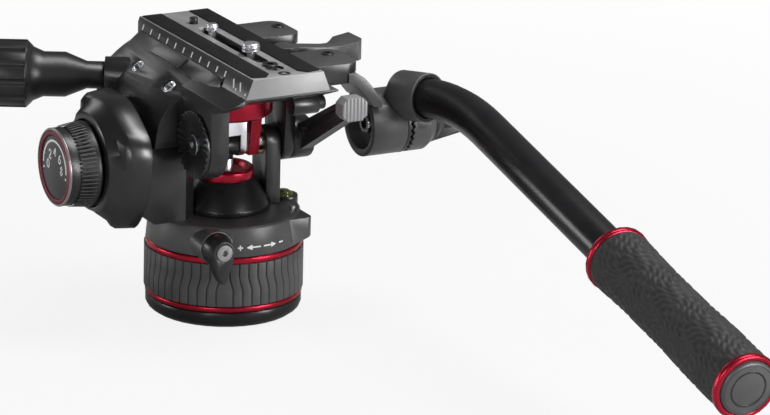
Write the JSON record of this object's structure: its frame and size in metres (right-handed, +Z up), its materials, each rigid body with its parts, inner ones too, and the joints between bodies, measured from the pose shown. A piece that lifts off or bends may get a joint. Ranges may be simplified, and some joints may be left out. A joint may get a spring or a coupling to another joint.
{
  "type": "fluid video head",
  "caption": "Fluid-damped pan and tilt head for a video camera: round base with drag ring, gas-spring balanced tilt platform with sliding dovetail plate and a bent pan bar with rubber grip.",
  "frame": {"origin": "centre of the base's underside, on the pan axis", "axes": "+Z up along the pan axis, +Y forward towards the lens, +X to the operator's right along the tilt axis"},
  "size_m": [0.2455, 0.5056, 0.1595],
  "materials": {
    "black_coat": "cast aluminium, satin black coat",
    "grey_coat": "cast aluminium, dark grey satin coat",
    "gloss_black": "glossy black moulding",
    "dark_moulding": "matte black moulding",
    "red_anodised": "red anodised, turned",
    "steel": "turned steel",
    "chrome": "bright chrome",
    "black_steel": "blackened steel",
    "soft_rubber": "ribbed black rubber",
    "bronze": "turned bronze",
    "vial": "clear green spirit vial"
  },
  "bodies": {
    "base": {"base_foot": "black_coat", "base_trim_ring": "red_anodised", "pan_spindle": "steel", "pan_drag_rotor": "bronze"},
    "drag_ring": {"pan_drag_ring": "soft_rubber", "drag_trim_ring": "red_anodised"},
    "pan": {"pan_housing": "grey_coat", "pan_bearing_lower": "steel", "pan_bearing_upper": "steel", "left_arm": "black_coat", "right_arm": "black_coat", "tilt_bush_left": "bronze", "tilt_bush_right": "bronze", "spring_cone": "black_coat", "spring_gland": "red_anodised", "spring_cylinder": "steel", "tilt_drag_housing": "black_coat", "tilt_drag_cover": "gloss_black", "level_housing": "gloss_black", "level_vial": "vial"},
    "pan_lock": {"pan_lock_lever": "black_coat", "pan_lock_screw": "steel"},
    "tilt_knob": {"tilt_drag_knob": "dark_moulding", "tilt_knob_ring": "red_anodised", "tilt_knob_dial": "gloss_black"},
    "spring_rod": {"spring_rod": "chrome", "spring_rod_eye": "black_steel"},
    "tilt": {"platform": "grey_coat", "tilt_hood": "black_coat", "tilt_yoke": "red_anodised", "tilt_shaft_left": "steel", "tilt_shaft_right": "steel", "tilt_drag_rotor": "bronze", "rosette_left": "black_coat", "rosette_bolt_left": "steel", "right_wing": "black_coat", "rosette_right": "black_coat"},
    "carriage": {"spring_carriage": "chrome"},
    "balance_knob": {"balance_knob": "dark_moulding", "balance_shaft": "steel"},
    "tilt_lock": {"tilt_lock_lever": "black_coat", "tilt_lock_grip": "dark_moulding"},
    "plate": {"camera_plate": "grey_coat", "plate_pad_left": "soft_rubber", "plate_pad_right": "soft_rubber"},
    "slider_small": {"screw_slider_small": "steel"},
    "slider_large": {"screw_slider_large": "steel"},
    "screw_small": {"camera_screw_small": "chrome"},
    "screw_large": {"camera_screw_large": "chrome"},
    "video_pin": {"video_pin": "black_steel"},
    "plate_lock": {"plate_lock_lever": "grey_coat"},
    "plate_release": {"plate_release_button": "dark_moulding"},
    "bar": {"bar_clamp": "black_coat", "bar_socket_ring": "steel", "pan_bar_tube": "black_coat", "grip_ring_upper": "red_anodised", "pan_bar_grip": "soft_rubber", "grip_ring_lower": "red_anodised", "grip_end_cap": "grey_coat"},
    "bar_knob": {"bar_clamp_knob": "dark_moulding"}
  },
  "joints": [
    {"name": "drag_ring_joint", "type": "hinge", "parent": "pan", "child": "drag_ring", "pos_m": [0, 0, 0], "axis": [0, 0, 1], "range_deg": [0, 300]},
    {"name": "pan_joint", "type": "hinge", "parent": "base", "child": "pan", "pos_m": [0, 0, 0], "axis": [0, 0, 1], "continuous": true},
    {"name": "pan_lock_joint", "type": "hinge", "parent": "pan", "child": "pan_lock", "pos_m": [-0.0245, 0, 0.048], "axis": [0, 1, 0], "range_deg": [-5, 90]},
    {"name": "tilt_knob_joint", "type": "hinge", "parent": "pan", "child": "tilt_knob", "pos_m": [0, 0, 0.093], "axis": [1, 0, 0], "range_deg": [0, 300]},
    {"name": "spring_rod_joint", "type": "slide", "parent": "pan", "child": "spring_rod", "axis": [0, 0, 1], "range_m": [0, 0.008]},
    {"name": "tilt_joint", "type": "hinge", "parent": "pan", "child": "tilt", "pos_m": [0, 0, 0.093], "axis": [-1, 0, 0], "range_deg": [-45, 70]},
    {"name": "carriage_joint", "type": "slide", "parent": "tilt", "child": "carriage", "axis": [0, 0, 1], "range_m": [0, 0.008]},
    {"name": "balance_knob_joint", "type": "hinge", "parent": "tilt", "child": "balance_knob", "pos_m": [-0.0485, 0.049, 0.126], "axis": [-0.8829, 0.4695, 0], "range_deg": [0, 720]},
    {"name": "tilt_lock_joint", "type": "hinge", "parent": "tilt", "child": "tilt_lock", "pos_m": [0, 0, 0.093], "axis": [1, 0, 0], "range_deg": [0, 30]},
    {"name": "plate_joint", "type": "slide", "parent": "tilt", "child": "plate", "axis": [0, 1, 0], "range_m": [-0.035, 0.035]},
    {"name": "slider_small_joint", "type": "slide", "parent": "plate", "child": "slider_small", "axis": [0, 1, 0], "range_m": [-0.01, 0.01]},
    {"name": "slider_large_joint", "type": "slide", "parent": "plate", "child": "slider_large", "axis": [0, 1, 0], "range_m": [-0.013, 0.012]},
    {"name": "screw_small_joint", "type": "hinge", "parent": "slider_small", "child": "screw_small", "pos_m": [0, 0.018, 0], "axis": [0, 0, 1], "continuous": true},
    {"name": "screw_large_joint", "type": "hinge", "parent": "slider_large", "child": "screw_large", "pos_m": [0, -0.0295, 0], "axis": [0, 0, 1], "continuous": true},
    {"name": "video_pin_joint", "type": "slide", "parent": "plate", "child": "video_pin", "axis": [0, 0, -1], "range_m": [0, 0.003], "stiffness_N_per_m": 300},
    {"name": "plate_lock_joint", "type": "hinge", "parent": "tilt", "child": "plate_lock", "pos_m": [0.0345, -0.0045, 0], "axis": [0, 0, 1], "range_deg": [-20, 20]},
    {"name": "plate_release_joint", "type": "slide", "parent": "tilt", "child": "plate_release", "axis": [-1, 0, 0], "range_m": [0, 0.0025], "stiffness_N_per_m": 400},
    {"name": "bar_joint", "type": "hinge", "parent": "tilt", "child": "bar", "pos_m": [0, -0.037, 0.108], "axis": [1, 0, 0], "continuous": true},
    {"name": "bar_knob_joint", "type": "hinge", "parent": "tilt", "child": "bar_knob", "pos_m": [0, -0.037, 0.108], "axis": [1, 0, 0], "continuous": true}
  ],
  "couplings": [
    {"joint": "spring_rod_joint", "follows": "balance_knob_joint", "m_per_rad": 0.00063662},
    {"joint": "carriage_joint", "follows": "balance_knob_joint", "m_per_rad": 0.00063662}
  ]
}
